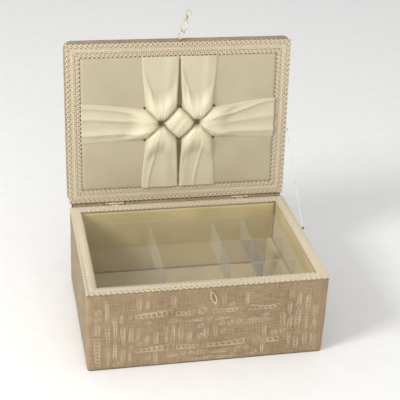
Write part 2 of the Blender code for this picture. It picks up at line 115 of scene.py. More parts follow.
# Gathered satin under the lid
SATIN_Z = 112.6
BAND_END_Y = 91.6
CROSS_END_X = 131.6
HOLE_X = 24.5
DIMPLE_X = 47.0
DIMPLE_Y = 22.0
HOLE_R = 3.7
SLIT_END = 88.0
CREASE = -0.55
PUFF = 7.9
RIBBON = 1.7

# Wire closure
WIRE_R = 0.8
EYELET_R = 1.7
EYELET_WIRE_R = 0.6
HASP_PIVOT = Vector((0.0, -114.0, 117.0))
HASP_LEAN = radians(18.0)
LINK_LENGTH = 11.0
LINK_BEND_R = 1.3
LOOP_HALF_WIDTH = 3.0
KEEPER_LENGTH = 18.3
KEEPER_PIVOT = Vector((0.0, -112.6, 104.5))
KEEPER_LEAN = radians(20.0)
HOOK_R = 1.9
EYE_HALF_WIDTH = 4.8
EYE_LENGTH = 14.5
NECK_R = 1.05
NECK_LENGTH = 6.5
RING_R = 3.45

# Stay cord on the right side
STAY_X = 152.6
PLY_R = 0.43
PLY_OFFSET = 0.34
PLY_PITCH = 3.4
STAY_ROUTE = (
    (121.3, 204.9), (114.0, 197.6), (106.6, 190.3), (99.2, 183.1), (91.9, 176.0),
    (84.5, 169.0), (77.2, 162.1), (69.8, 155.3), (62.5, 148.6), (55.1, 142.0),
    (47.7, 135.5), (40.4, 129.1), (33.0, 122.9), (25.7, 116.8), (18.4, 110.9),
)

# Strip of cloth that closes the joint at the back: its line in Y and Z, and its runs in X
HINGE_CLOTH_ROUTE = (
    (110.9, 101.0), (111.0, 106.0), (111.5, 109.5), (113.2, 111.9), (116.0, 113.0), (120.5, 113.1),
)
HINGE_CLOTH_RUNS = ((-147.0, -100.4), (-75.6, 75.6), (100.4, 147.0))
HINGE_CLOTH_THICK = 0.6

# Lights: name, place, aim, size, watts and colour
LIGHTS = (
    ("key", (-2.1, -0.9, 1.7), (0, 0, 0.15), 0.9, 48.0, (1.0, 0.985, 0.96)),
    ("fill", (0.3, -2.4, 0.9), (0, 0, 0.2), 1.4, 13.0, (1.0, 0.99, 0.97)),
    ("top", (0.1, 0.2, 2.1), (0, 0, 0.1), 1.4, 2.5, (1.0, 1.0, 1.0)),
)
SKY_STRENGTH = 0.64
FLOOR_REACH = 6.0


# ---- stage

def add_object(name, data):
    obj = bpy.data.objects.new(name, data)
    bpy.context.collection.objects.link(obj)
    return obj


def make_camera():
    azimuth, elevation = CAMERA_AZIMUTH, CAMERA_ELEVATION
    back = Vector((
        sin(azimuth) * cos(elevation),
        -cos(azimuth) * cos(elevation),
        sin(elevation),
    ))
    level_right = (-back).cross(Vector((0, 0, 1))).normalized()
    level_up = level_right.cross(-back)
    right = cos(CAMERA_ROLL) * level_right + sin(CAMERA_ROLL) * level_up
    up = cos(CAMERA_ROLL) * level_up - sin(CAMERA_ROLL) * level_right
    camera = add_object("camera", bpy.data.cameras.new("camera"))
    camera.data.lens = CAMERA_LENS
    camera.matrix_world = (Matrix.Translation(CAMERA_TARGET + back * CAMERA_DISTANCE)
                           @ Matrix((right, up, back)).transposed().to_4x4())
    bpy.context.scene.camera = camera


def make_light(name, place, aim, size, watts, colour):
    light = bpy.data.lights.new(name, "AREA")
    light.shape = "DISK"
    light.size = size
    light.energy = watts
    light.color = colour
    obj = add_object(name, light)
    obj.location = place
    obj.rotation_euler = (Vector(aim) - Vector(place)).to_track_quat("-Z", "Y").to_euler()


def make_stage():
    mesh = bpy.data.meshes.new("floor")
    corners = [(x * FLOOR_REACH, y * FLOOR_REACH, 0) for x, y in ((-1, -1), (1, -1), (1, 1), (-1, 1))]
    mesh.from_pydata(corners, [], [(0, 1, 2, 3)])
    mesh.materials.append(LOOKS["floor"])
    add_object("floor", mesh)
    for light in LIGHTS:
        make_light(*light)
    world = bpy.data.worlds.new("studio")
    world.use_nodes = True
    background = world.node_tree.nodes["Background"]
    background.inputs["Color"].default_value = (1.0, 1.0, 1.0, 1.0)
    background.inputs["Strength"].default_value = SKY_STRENGTH
    bpy.context.scene.world = world
    bpy.context.scene.view_settings.view_transform = "Standard"


# ---- materials

class Shader:
    """A Principled material and short names for the nodes that feed it."""

    def __init__(self, name, **sockets):
        self.material = bpy.data.materials.new(name)
        self.material.use_nodes = True
        self.tree = self.material.node_tree
        self.shader = self.tree.nodes["Principled BSDF"]
        for socket, value in sockets.items():
            self.shader.inputs[socket.replace("_", " ")].default_value = value
        self.coords = self.tree.nodes.new("ShaderNodeTexCoord")

    def node(self, kind, inputs=(), **settings):
        node = self.tree.nodes.new("ShaderNode" + kind)
        for setting, value in settings.items():
            setattr(node, setting, value)
        for socket, value in dict(inputs).items():
            if isinstance(value, bpy.types.NodeSocket):
                self.tree.links.new(value, node.inputs[socket])
            else:
                node.inputs[socket].default_value = value
        return node

    def noise(self, scale, coords="UV", detail=2.0, stretch=(1, 1, 1)):
        mapping = self.node("Mapping", {"Vector": self.coords.outputs[coords], "Scale": stretch})
        return self.node("TexNoise", {"Vector": mapping.outputs["Vector"], "Scale": scale,
                                      "Detail": detail}).outputs["Fac"]

    def threads(self, pitch, direction, distortion=1.0):
        """Parallel threads, pitch in millimetres; 0.314 / scale is a wave's period in metres."""
        return self.node("TexWave", {"Vector": self.coords.outputs["UV"], "Scale": 314.0 / pitch,
                                     "Distortion": distortion, "Detail": 1.0,
                                     "Detail Scale": 0.6},
                         bands_direction=direction).outputs["Fac"]

    def math(self, operation, a, b, clamp=False):
        node = self.node("Math", {0: a, 1: b}, operation=operation, use_clamp=clamp)
        return node.outputs[0]

    def weighed(self, a, weight_a, b, weight_b):
        return self.math("ADD", self.math("MULTIPLY", a, weight_a), self.math("MULTIPLY", b, weight_b))

    def spread(self, value, low, high, to=(0.0, 1.0)):
        return self.node("MapRange", {"Value": value, "From Min": low, "From Max": high,
                                      "To Min": to[0], "To Max": to[1]}).outputs["Result"]

    def mix(self, factor, a, b, blend="MIX"):
        """a and b are sockets or colours."""
        a, b = ((*side, 1.0) if isinstance(side, tuple) else side for side in (a, b))
        return self.node("Mix", {0: factor, 6: a, 7: b}, data_type="RGBA", blend_type=blend).outputs[2]

    def feed(self, socket, value):
        self.tree.links.new(value, self.shader.inputs[socket])

    def bump(self, height, depth, strength=1.0):
        """Relief whose full height is depth millimetres."""
        bump = self.node("Bump", {"Height": height, "Distance": depth * MM, "Strength": strength})
        self.feed("Normal", bump.outputs["Normal"])


def linen(name, dark, light, edge):
    """Slubby plain weave with a faint tint where a corner rubs."""
    cloth = Shader(name, Roughness=0.92, Sheen_Weight=0.18, Specular_IOR_Level=0.2)
    across = cloth.threads(0.9, "X")
    along = cloth.threads(0.9, "Y")
    weave = cloth.math("MULTIPLY", across, along)
    slubs_x = cloth.noise(60.0, stretch=(14, 1, 1), detail=3.0)
    slubs_y = cloth.noise(60.0, stretch=(1, 14, 1), detail=3.0)
    slubs = cloth.math("MULTIPLY", cloth.math("ADD", slubs_x, slubs_y), 0.5)
    patches = cloth.noise(22.0, detail=4.0)
    tone = cloth.spread(cloth.weighed(slubs, 0.75, patches, 0.25), 0.38, 0.62)
    threads = cloth.spread(weave, 0.0, 0.6, (0.74, 1.06))
    grey = cloth.node("CombineColor", {0: threads, 1: threads, 2: threads}).outputs[0]
    base = cloth.mix(1.0, cloth.mix(tone, dark, light), grey, "MULTIPLY")
    rub = cloth.node("Attribute", attribute_name="rub").outputs["Fac"]
    cloth.feed("Base Color", cloth.mix(cloth.math("MULTIPLY", rub, 0.22), base, edge))
    cloth.bump(cloth.math("ADD", weave, cloth.math("MULTIPLY", slubs, 1.5)), 0.22, 0.8)
    return cloth.material


def printed_ink(name, ink, cloth_colour):
    """Pale printing worn thin by the weave."""
    paint = Shader(name, Roughness=0.85, Specular_IOR_Level=0.2)
    wear = paint.noise(900.0, "Object", 3.0)
    worn = paint.weighed(wear, 0.6, paint.noise(45.0, "Object", 3.0), 0.9)
    paint.feed("Base Color", paint.mix(paint.spread(worn, 0.58, 0.98), ink, cloth_colour))
    paint.bump(wear, 0.08)
    return paint.material


def yarn(name, light, dark, pitch):
    """Plied thread: slanting stripes that run round a strand, u along it and v round it."""
    thread = Shader(name, Roughness=0.7, Sheen_Weight=0.3, Specular_IOR_Level=0.3)
    tone = thread.weighed(thread.threads(pitch, "DIAGONAL", 0.4), 0.75, thread.noise(1500.0), 0.35)
    thread.feed("Base Color", thread.mix(thread.spread(tone, 0.15, 0.8), dark, light))
    thread.bump(tone, 0.15, 0.7)
    return thread.material


def satin(name, light, dark, roughness, puff_highlight_colour=None):
    """Warp-faced satin: fine threads, soft tone changes and a sheen, with a painted highlight that makes
    it paler where its puffs stand high.
    """
    cloth = Shader(name, Roughness=roughness, Sheen_Weight=0.25, Sheen_Roughness=0.4,
                   Specular_IOR_Level=0.45)
    fine = cloth.threads(0.35, "X", 0.6)
    streaks = cloth.noise(240.0, stretch=(5, 0.5, 1))
    tone = cloth.spread(cloth.weighed(streaks, 0.22, cloth.noise(16.0), 0.78), 0.3, 0.7)
    tone = cloth.math("ADD", tone, cloth.math("MULTIPLY", fine, 0.1))
    base = cloth.mix(tone, dark, light)
    # Painted highlight: a paler colour where the puffs stand high off the lid, as if they caught more
    # light
    if puff_highlight_colour:
        puff_highlight_mask = cloth.node("Attribute", attribute_name="puff_highlight").outputs["Fac"]
        base = cloth.mix(puff_highlight_mask, base, puff_highlight_colour)
    cloth.feed("Base Color", base)
    cloth.feed("Roughness", cloth.spread(streaks, 0.3, 0.7, (roughness - 0.07, roughness + 0.08)))
    cloth.bump(cloth.math("ADD", fine, cloth.math("MULTIPLY", streaks, 1.2)), 0.05, 0.5)
    return cloth.material


def board(name, light, dark):
    """Pressed grey board: short fibres lying one way."""
    grey = Shader(name, Roughness=0.9)
    fibres = grey.noise(400.0, "Object", 4.0, (1, 1, 6))
    grey.feed("Base Color", grey.mix(fibres, dark, light))
    grey.bump(fibres, 0.15)
    return grey.material


def clear_plastic(name):
    """Thin clear moulding: faint in the middle, whiter at its edges, with small scuffs."""
    clear = Shader(name, Base_Color=(0.97, 0.94, 0.84, 1.0), Roughness=0.08, IOR=1.46,
                   Specular_IOR_Level=0.4)
    rim = clear.node("LayerWeight", {"Blend": 0.35}).outputs["Facing"]
    scuffs = clear.noise(500.0, "Object", 4.0, (1, 8, 1))
    clear.feed("Alpha", clear.math("ADD", clear.spread(rim, 0.0, 1.0, (0.015, 0.17)),
                                   clear.spread(scuffs, 0.55, 0.8, (0.0, 0.03)), True))
    clear.feed("Roughness", clear.spread(scuffs, 0.4, 0.8, (0.05, 0.2)))
    clear.bump(clear.noise(60.0, "Object", 2.0), 0.05, 0.5)
    return clear.material


def metal(name, light, dark, roughness, metallic):
    """Metal or coated wire with small dull patches and fine scratches."""
    plate = Shader(name, Metallic=metallic, Roughness=roughness)
    patches = plate.noise(300.0, "Object", 4.0)
    scratches = plate.noise(2500.0, "Object", 2.0, (1, 1, 0.1))
    plate.feed("Base Color", plate.mix(plate.spread(patches, 0.35, 0.65), dark, light))
    plate.feed("Roughness", plate.spread(patches, 0.3, 0.7, (roughness - 0.08, roughness + 0.15)))
    plate.bump(plate.math("ADD", patches, plate.math("MULTIPLY", scratches, 0.4)), 0.05)
    return plate.material


def speckled(name, light, dark, scale, roughness):
    """A matt surface with a fine grain."""
    matt = Shader(name, Roughness=roughness)
    grain = matt.noise(scale, "Object", 4.0)
    matt.feed("Base Color", matt.mix(matt.spread(grain, 0.35, 0.65), dark, light))
    matt.bump(grain, 0.2)
    return matt.material


def make_materials():
    tan = (0.40, 0.285, 0.165)
    return {
        "linen": linen("printed_linen", (0.275, 0.188, 0.102), (0.485, 0.36, 0.222), (0.50, 0.30, 0.16)),
        "ink": printed_ink("pale_print", (0.60, 0.50, 0.375), tan),
        "braid": yarn("braid_yarn", (0.80, 0.71, 0.54), (0.46, 0.37, 0.24), 1.1),
        # Braid ground: its own weave, made dark as well for painted shade in the gaps between the loops
        "braid_ground_and_shade": yarn("braid_ground_and_shade", (0.46, 0.37, 0.24), (0.24, 0.18, 0.11), 0.9),
        "lining": satin("lining_satin", (0.60, 0.49, 0.265), (0.48, 0.385, 0.195), 0.42),
        "lid_satin": satin("lid_satin", (0.52, 0.455, 0.315), (0.44, 0.38, 0.255), 0.38),
        # The band's last colour is a painted highlight for the raised puffs
        "band": satin("band_satin", (0.62, 0.555, 0.40), (0.54, 0.48, 0.335), 0.36, (0.73, 0.675, 0.48)),
        # Painted shade: a near-black satin for the sheet that shows down the creases and slits
        "shade": satin("painted_shade_satin", (0.22, 0.17, 0.07), (0.14, 0.105, 0.045), 0.5),
        "board": board("grey_board", (0.42, 0.37, 0.30), (0.28, 0.24, 0.19)),
        "paper": speckled("base_paper", (0.05, 0.042, 0.034), (0.022, 0.018, 0.014), 500.0, 0.75),
        "plastic": clear_plastic("clear_plastic"),
        "wire": metal("cream_wire", (0.78, 0.70, 0.48), (0.50, 0.42, 0.26), 0.32, 0.35),
        "brass": metal("pale_brass", (0.78, 0.68, 0.46), (0.52, 0.40, 0.22), 0.32, 1.0),
        "cord": yarn("cord_yarn", (0.88, 0.86, 0.80), (0.58, 0.55, 0.48), 1.3),
        "knot": yarn("knot_yarn", (0.22, 0.16, 0.10), (0.08, 0.05, 0.03), 1.0),
        # Stitch thread, dark enough to stand in also as painted shade in the pinched holes
        "thread": yarn("stitch_yarn_and_hole_shade", (0.17, 0.115, 0.045), (0.07, 0.045, 0.02), 0.6),
        "floor": speckled("floor", (0.92, 0.92, 0.91), (0.90, 0.90, 0.89), 40.0, 0.7),
    }


LOOKS = make_materials()


# ---- mesh helpers

def new_piece(name, points, faces, look, body, place=None, uvs=None, closed=True):
    """A mesh piece from points in millimetres, which rides on a body unless body is None."""
    matrix = place or Matrix.Identity(4)
    mesh = bpy.data.meshes.new(name)
    mesh.from_pydata([(matrix @ Vector(point)) * MM for point in points], [], faces)
    mesh.materials.append(LOOKS[look])
    if uvs:
        layer = mesh.uv_layers.new(name="UVMap")
        corners = [uvs[loop.vertex_index] for loop in mesh.loops]
        layer.data.foreach_set("uv", [value * MM for corner in corners for value in corner])
    if closed:
        shape = bmesh.new()
        shape.from_mesh(mesh)
        bmesh.ops.recalc_face_normals(shape, faces=shape.faces)
        shape.to_mesh(mesh)
        shape.free()
    mesh.shade_smooth()
    obj = add_object(name, mesh)
    if body:
        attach(obj, body)
    return obj


def mark(piece, name, values):
    """Stores a number for each point, which the piece's material reads."""
    attribute = piece.data.attributes.new(name, "FLOAT", "POINT")
    attribute.data.foreach_set("value", values)


def heading(route, i, cyclic=False):
    """The direction of a route at its point i."""
    last = len(route) - 1
    ahead = route[(i + 1) % len(route)] if cyclic else route[min(i + 1, last)]
    behind = route[i - 1] if cyclic else route[max(i - 1, 0)]
    return (ahead - behind).normalized()


def distances(route):
    """How far along a route each of its points lies."""
    runs = [0.0]
    for start, end in zip(route, route[1:]):
        runs.append(runs[-1] + (end - start).length)
    return runs


class Cloth:
    """Collects points, faces and uvs of one piece that is made of several parts."""

    def __init__(self):
        self.points, self.faces, self.uvs = [], [], []

    def tube(self, route, radius, ups=None, sides=6, cyclic=False):
        """A round strand along a route of vectors; ups are the directions off the surface."""
        first, count = len(self.points), len(route)
        for i, (centre, run) in enumerate(zip(route, distances(route))):
            tangent = heading(route, i, cyclic)
            up = ups[i] if ups else Vector((0, 0, 1) if abs(tangent.z) < 0.9 else (0, 1, 0))
            side = tangent.cross(up).normalized()
            up = side.cross(tangent)
            for step in range(sides):
                angle = 2 * pi * step / sides
                self.points.append(centre + radius * (cos(angle) * side + sin(angle) * up))
                self.uvs.append((run, angle * radius))
        rows = count if cyclic else count - 1
        for row in range(rows):
            low, high = first + row * sides, first + (row + 1) % count * sides
            for step in range(sides):
                after = (step + 1) % sides
                self.faces.append((low + step, low + after, high + after, high + step))
        if not cyclic:
            last = first + (count - 1) * sides
            self.faces.append(tuple(range(first, first + sides)))
            self.faces.append(tuple(range(last, last + sides)))

    def panel(self, face, back, steps):
        """A closed panel: face(u, v) and back(u, v) give a point for u and v from 0 to 1."""
        first = len(self.points)
        wide, high = steps
        for j in range(high + 1):
            for i in range(wide + 1):
                point, uv = face(i / wide, j / high)
                self.points.append(Vector(point))
                self.uvs.append(uv)
        row = wide + 1
        for j in range(high):
            for i in range(wide):
                low = first + j * row + i
                self.faces.append((low, low + 1, low + row + 1, low + row))
        rim = [(i, 0) for i in range(wide)] + [(wide, j) for j in range(high)]
        rim += [(i, high) for i in range(wide, 0, -1)] + [(0, j) for j in range(high, 0, -1)]
        under = len(self.points)
        for i, j in rim:
            self.points.append(Vector(back(i / wide, j / high)))
            self.uvs.append(self.uvs[first + j * row + i])
        for k, (i, j) in enumerate(rim):
            after = (k + 1) % len(rim)
            next_i, next_j = rim[after]
            self.faces.append((first + j * row + i, under + k, under + after,
                               first + next_j * row + next_i))
        self.faces.append(tuple(range(under, under + len(rim))))

    def piece(self, name, look, body, slot, place=None):
        return new_piece(name, self.points, self.faces, look, body, place, self.uvs)


def wander(x, y, size, seed=0.0):
    """Smooth noise from -1 to 1 whose lumps are about size millimetres across."""
    return noise.noise(Vector((x / size, y / size, seed)))


def dress(nodes, look):
    """Gives CAD pieces that stay a material."""
    for name in nodes:
        NODES[name].data.materials.clear()
        NODES[name].data.materials.append(LOOKS[look])


def soften(name, width):
    """Rounds a CAD piece's sharp edges."""
    bevel = NODES[name].modifiers.new("edges", "BEVEL")
    bevel.width = width * MM
    bevel.segments = 2
    bevel.limit_method = "ANGLE"
    bevel.angle_limit = radians(35)
    bevel.use_clamp_overlap = True


# ---- stay cord

def smooth_route(points, pieces):
    """A smooth curve through points, with so many pieces between each two."""
    route = []
    for i in range(len(points) - 1):
        before, start = points[max(i - 1, 0)], points[i]
        end, after = points[i + 1], points[min(i + 2, len(points) - 1)]
        for piece in range(pieces):
            t = piece / pieces
            route.append(0.5 * (2 * start + (end - before) * t
                                + (2 * before - 5 * start + 4 * end - after) * t * t
                                + (3 * start - before - 3 * end + after) * t**3))
    return route + [points[-1]]


def make_stay():
    """Two plies twisted round each other along the cord's route."""
    route = smooth_route([Vector((STAY_X, y, z)) for y, z in STAY_ROUTE], 12)
    runs = distances(route)
    plies = ([], [])
    for i, centre in enumerate(route):
        out = Vector((1, 0, 0))
        side = heading(route, i).cross(out)
        for ply, phase in zip(plies, (0.0, pi)):
            angle = 2 * pi * runs[i] / PLY_PITCH + phase
            ply.append(centre + PLY_OFFSET * (cos(angle) * out + sin(angle) * side))
    cord = Cloth()
    for ply in plies:
        cord.tube(ply, PLY_R, sides=7)
    piece = cord.piece("stay_cord_yarn", "cord", None, "white_cord")
    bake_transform(piece)
    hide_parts("stay_cord")


# ---- box cover and lid cover

def outline(half_x, half_y, centre_y, radius, counts):
    """A rounded rectangle as (x, y, cornering), anticlockwise from the right front corner.

    counts are the steps along a long and a short side; cornering is 1 in the middle of a corner.
    """
    points = []
    for quarter, (side_x, side_y) in enumerate(((1, -1), (1, 1), (-1, 1), (-1, -1))):
        for step in range(7):
            angle = radians(90 * (quarter - 1 + step / 6))
            x = side_x * (half_x - radius) + radius * cos(angle)
            y = side_y * (half_y - radius) + radius * sin(angle)
            points.append((x, y + centre_y, 1.0 - abs(step / 3 - 1) * 0.5))
        run_x, run_y = ((0, 1), (-1, 0), (0, -1), (1, 0))[quarter]
        length = 2 * (half_x - radius if run_x else half_y - radius)
        count = counts[0 if run_x else 1]
        x, y, _ = points[-1]
        for step in range(1, count):
            part = length * step / count
            edge = max(0.0, 1 - min(part, length - part) / 9.0)
            points.append((x + run_x * part, y + run_y * part, 0.5 * edge))
    return points


def skin(name, rings, rub, uvs, body, place, capped):
    """Linen over rings of equal length; joined end to end unless capped."""
    count = len(rings[0])
    points = [point for ring in rings for point in ring]
    faces = []
    for row in range(len(rings) - 1 if capped else len(rings)):
        low, high = row * count, (row + 1) % len(rings) * count
        for i in range(count):
            j = (i + 1) % count
            faces.append((low + i, low + j, high + j, high + i))
    if capped:
        faces.append(tuple(range(count)))
        faces.append(tuple(range(len(points) - count, len(points))))
    obj = new_piece(name, points, faces, "linen", body, place, uvs)
    mark(obj, "rub", rub)
    return obj


def wall_swell(run, z, cornering):
    """How far the glued cloth stands off the boards: small puckers, and folds by the corners."""
    low_pucker = 0.35 * wander(run, z, 38.0)
    folds = cornering * 0.55 * sin(run * 1.1 + 2.0 * wander(run, z, 25.0, 3.0))
    return low_pucker + 0.16 * wander(run, z, 11.0, 7.0) + folds * exp(-((z - 50) / 42.0) ** 2)


def make_box_cover():
    """The cloth round the four walls, with soft folds by the corners."""
    flat = outline(BOX_HALF_X, BOX_HALF_Y, 0.0, BOX_CORNER, (80, 56))
    centre = [(x, y) for x, y, _ in flat]
    runs = [0.0]
    for (x0, y0), (x1, y1) in zip(centre, centre[1:]):
        runs.append(runs[-1] + hypot(x1 - x0, y1 - y0))
    steps = 30
    heights = [COVER_LOW + (COVER_TOP - COVER_LOW) * step / steps for step in range(steps + 1)]
    rings, rub, uvs = [], [], []

    def add_ring(z, inset, swell):
        ring = []
        for (x, y, cornering), run in zip(flat, runs):
            out = (wall_swell(run, z, cornering) if swell else 0.0) - inset
            corner_x = copysign(max(0.0, abs(x) - BOX_HALF_X + BOX_CORNER), x)
            corner_y = copysign(max(0.0, abs(y) - BOX_HALF_Y + BOX_CORNER), y)
            away = Vector((corner_x, corner_y, 0.0)).normalized()
            ring.append((x + away.x * out, y + away.y * out, z))
            rub.append(cornering)
            uvs.append((run, z))
        rings.append(ring)

    for z in heights:
        nearness = min(z - COVER_LOW, COVER_TOP - z)
        add_ring(z, 0.5 * max(0.0, 1 - nearness / 2.0), True)
    add_ring(COVER_TOP, COVER_WALL, False)
    add_ring(COVER_LOW, COVER_WALL, False)
    cover = skin("box_cover_cloth", rings, rub, uvs, "box", None, False)
    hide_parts("outer_cover")
    return cover


def dome_height(x, y):
    """Height of the padded top: an arch from front to back, its ends rounded off."""
    half_x, half_y, centre_y, _ = LID_SHOULDER
    along = min(1.0, abs(x) / half_x)
    across = min(1.0, abs(y - centre_y) / half_y)
    arch = (1 - across**2.2) ** 0.85
    ends = (1 - along**14) ** 0.45 * (1 - 0.1 * along**2)
    return SHOULDER_Z + CROWN * arch * ends


def make_lid_cover():
    """The cloth drawn over the foam: a skirt, a soft shoulder and the dome."""
    flat = outline(*LID_SHOULDER, (72, 50))
    edge = outline(*LID_EDGE, (72, 50))
    half_x, half_y, centre_y, _ = LID_SHOULDER
    rings, rub, uvs = [], [], []

    def add_ring(ring):
        for (x, y, z), (_, _, cornering) in zip(ring, flat):
            rub.append(cornering * min(1.0, max(0.0, (138 - z) / 20)))
            fallen = max(0.0, dome_height(0, y) - z)
            uvs.append((x + copysign(fallen, x) * min(1.0, abs(x / half_x)) ** 8,
                        y - copysign(max(0.0, SHOULDER_Z - z), y)))
        rings.append(ring)

    for part in (0.0, 0.06, 0.25, 0.5, 0.75, 1.0):
        z = COVER_Z + (SHOULDER_Z - COVER_Z) * part
        ring = []
        for (ex, ey, _), (sx, sy, _) in zip(edge, flat):
            pull = -0.6 if part == 0.0 else 0.0
            x, y = ex + (sx - ex) * part, ey + (sy - ey) * part
            away = Vector((x, y - centre_y, 0.0)).normalized()
            fold = 0.35 * wander(x, y, 9.0, 5.0) * (1 - part) + pull
            ring.append((x + away.x * fold, y + away.y * fold, z))
        add_ring(ring)
    steps = 34
    for step in range(1, steps):
        scale = 1 - (step / steps) ** 2.2
        ring = []
        for x, y, _ in flat:
            px, py = x * scale, (y - centre_y) * scale + centre_y
            z = dome_height(px, py)
            near_edge = 1 - min(1.0, step / (steps * 0.6))
            z += 0.5 * wander(px, py, 42.0, 2.0) + 0.5 * near_edge * wander(px, py, 10.0, 9.0)
            ring.append((px, py, z))
        add_ring(ring)
    cover = skin("lid_cover_cloth", rings, rub, uvs, "lid", LID, True)
    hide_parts("lid_cover", "lid_pad")
    return cover


def make_hinge_cloth():
    """The strip of cloth that closes the joint at the back, cut out round the two hinges."""
    route = smooth_route([Vector((0, y, z)) for y, z in HINGE_CLOTH_ROUTE], 5)
    last = len(route) - 1
    strip = Cloth()
    for x0, x1 in HINGE_CLOTH_RUNS:
        def face(u, v, lift=0.0, x0=x0, x1=x1):
            spot = route[round(v * last)]
            place = min(round(v * last), last - 1)
            tangent = (route[place + 1] - route[place]).normalized()
            x = x0 + (x1 - x0) * u
            swell = 0.15 * wander(x, 6 * v, 7.0, 4.0) - lift
            return (x, spot.y + tangent.z * swell, spot.z - tangent.y * swell), (x, 18.0 * v)

        def back(u, v, face=face):
            return face(u, v, HINGE_CLOTH_THICK)[0]
        strip.panel(face, back, (round((x1 - x0) / 4), last))
    piece = strip.piece("hinge_cloth", "linen", None, "printed_cloth")
    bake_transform(piece)


# ---- printed strokes

def scribble(rng, loops, height, slant=0.3):
    """A run of even pen loops whose size swells and shrinks, as (u, v): pattern, not letters."""
    route = []
    start = 0.0
    step = height * rng.uniform(0.5, 0.72)
    lean = step * rng.choice((-0.75, 0.75, 0.95))
    beat, phase = rng.uniform(0.25, 0.55), rng.uniform(0, 2 * pi)
    for loop in range(loops):
        tall = height * (0.74 + 0.26 * sin(beat * loop + phase))
        for point in range(12):
            t = point / 12
            v = tall * (1 - cos(2 * pi * t)) / 2
            u = start + step * t + lean * sin(2 * pi * t)
            route.append((u + slant * v, v))
        start += step
    return route


def curl(rng, height):
    """A flat spiral of two and a half turns."""
    turns = rng.uniform(2.2, 2.8)
    squash = rng.uniform(0.85, 1.15)
    route = []
    for point in range(44):
        t = point / 43
        angle = pi * (0.6 + 2 * turns * t)
        radius = height * (0.5 - 0.42 * t)
        route.append((radius * cos(angle) * squash, height * 0.5 + radius * sin(angle)))
    return route


def nib(route, thick):
    """Left and right edges of a pen line, thick or thin by its direction."""
    edges = []
    last = len(route) - 1
    for i, (u, v) in enumerate(route):
        u0, v0 = route[max(i - 1, 0)]
        u1, v1 = route[min(i + 1, last)]
        angle = atan2(v1 - v0, u1 - u0)
        taper = min(1.0, 0.35 + 3.0 * min(i, last - i) / last)
        wide = thick * (0.3 + 0.7 * abs(sin(angle - 0.6))) * taper / 2
        side = (-sin(angle) * wide, cos(angle) * wide)
        edges.append(((u + side[0], v + side[1]), (u - side[0], v - side[1])))
    return edges


def fill_panel(rng, width, height):
    """Pen lines over a panel: large ones along it, small ones below them, and columns up it."""
    lines, boxes = [], []

    def lay(u, v, length, size, upright):
        end = (v if upright else u) + length
        while (v if upright else u) < end - 8:
            if rng.random() < 0.16:
                line, thick = curl(rng, size * 1.35), 0.08 * size + 0.3
            else:
                line, thick = scribble(rng, rng.randint(4, 8), size), 0.10 * size + 0.4
            if upright:
                line = [(-b, a) for a, b in line]
            low_u, low_v = min(p[0] for p in line), min(p[1] for p in line)
            wide, tall = max(p[0] for p in line) - low_u, max(p[1] for p in line) - low_v
            box = (u, v, u + wide, v + tall)
            clear = all(box[2] < other[0] or box[0] > other[2] or box[3] < other[1] or box[1] > other[3]
                        for other in boxes)
            if clear and box[2] < width - 1 and box[3] < height - 1:
                lines.append(([(u + a - low_u, v + b - low_v) for a, b in line], thick))
                boxes.append(box)
            step = rng.uniform(1.5, 4.0) + (0.0 if not clear else tall if upright else wide)
            if upright:
                v += step
            else:
                u += step

    for row in range(max(1, round(height / PRINT_ROW))):
        v = PRINT_ROW * row + rng.uniform(0.3, 0.55) * min(height, PRINT_ROW)
        u = rng.uniform(0.1, 0.25) * width
        lay(u, v, 0.58 * width, 10.5, False)
        lay(u + rng.uniform(20, 50), v - 10, 0.25 * width, 5.5, False)
        lay(u + rng.uniform(60, 110), v - 19, 0.2 * width, 6.5, False)
    u = 3.0
    while u < width - 6:
        lay(u, rng.uniform(0, 8), height, rng.choice((5.5, 6.0, 7.0)), True)
        u += rng.uniform(9.0, 13.0)
    return lines


def print_lines(name, cover, views, seed, body):
    """Lays pen lines on a cover; each view is (width, height, cast)."""
    rng = random.Random(seed)
    mesh = cover.data
    tree = BVHTree.FromPolygons([v.co.copy() for v in mesh.vertices],
                                [tuple(p.vertices) for p in mesh.polygons])
    points, faces = [], []
    for width, height, cast in views:
        for route, thick in fill_panel(rng, width, height):
            first = len(points)
            for pair in nib(route, thick):
                hits = []
                for u, v in pair:
                    origin, direction = cast(u, v)
                    spot, normal, _, _ = tree.ray_cast(origin * MM, direction, 0.2)
                    if spot is None:
                        break
                    hits.append(spot / MM + normal * PRINT_LIFT * (-1 if normal.dot(direction) > 0 else 1))
                if len(hits) < 2:
                    break
                points.extend(hits)
            count = (len(points) - first) // 2
            for i in range(count - 1):
                low = first + 2 * i
                faces.append((low, low + 1, low + 3, low + 2))
    new_piece(name, points, faces, "ink", body, closed=False)


def wall_cast(out_x, out_y):
    """Rays at a wall of the box, u along it from its left end as seen from outside, v up it."""
    half, away = (PRINT_HALF_X, RAY_START) if out_y else (PRINT_HALF_Y, RAY_START_END)

    def cast(u, v):
        along = u - half
        return (Vector((out_x * away - out_y * along, out_y * away + out_x * along, COVER_LOW + 2 + v)),
                Vector((-out_x, -out_y, 0)))
    return cast


def arch_cast():
    """Rays at the lid's arch, u along it and v round it from its front edge, and its length round."""
    middle = Vector((0.0, LID_SHOULDER[2], 92.0))
    ys = [LID_SHOULDER[2] + LID_SHOULDER[1] * (-0.995 + 1.99 * step / 120) for step in range(121)]
    profile = [Vector((0.0, y, dome_height(0, y))) for y in ys]
    runs = distances(profile)

    def cast(u, v):
        v = min(max(v, 0.0), runs[-1])
        index = bisect_left(runs, v)
        spot = profile[index]
        if index:
            share = (v - runs[index - 1]) / max(1e-6, runs[index] - runs[index - 1])
            spot = profile[index - 1].lerp(profile[index], share)
        away = (spot - middle).normalized()
        origin = middle + away * RAY_START + Vector((u - ARCH_PRINT_HALF, 0, 0))
        return LID @ origin, LID.to_3x3() @ -away
    return cast, runs[-1]


